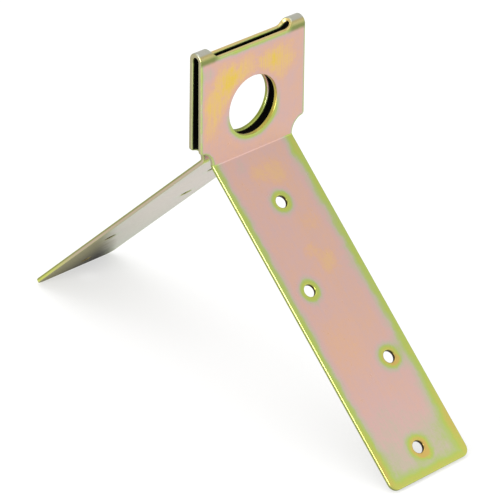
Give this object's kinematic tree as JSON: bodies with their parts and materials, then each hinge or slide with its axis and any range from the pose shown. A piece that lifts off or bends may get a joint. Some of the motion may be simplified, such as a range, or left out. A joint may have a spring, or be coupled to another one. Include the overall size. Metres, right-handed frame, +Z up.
{
  "type": "roof bracket",
  "caption": "Folded sheet-steel roof anchor bracket: a doubled, slotted head with a large hook eye over splayed nailing legs that bend to the roof's pitch.",
  "frame": {"origin": "centre of the hook eye, midway between the two plates", "axes": "+Z up; X along the ridge, across the strip's width; Y across the ridge, front leg towards -Y and rear leg towards +Y"},
  "size_m": [0.0762, 0.3006, 0.2093],
  "materials": {
    "plated_steel": "yellow zinc dichromate plate, semi-gloss, iridescent"
  },
  "bodies": {
    "head": {"head": "plated_steel"},
    "front_leg": {"front_leg": "plated_steel"},
    "rear_leg": {"rear_leg": "plated_steel"}
  },
  "joints": [
    {"name": "front_bend", "type": "hinge", "parent": "head", "child": "front_leg", "pos_m": [0, -0.00644, -0.02688], "axis": [-1, 0, 0], "range_deg": [0, 43.7]},
    {"name": "rear_bend", "type": "hinge", "parent": "head", "child": "rear_leg", "pos_m": [0, 0.00644, -0.02688], "axis": [1, 0, 0], "range_deg": [0, 43.7]}
  ]
}
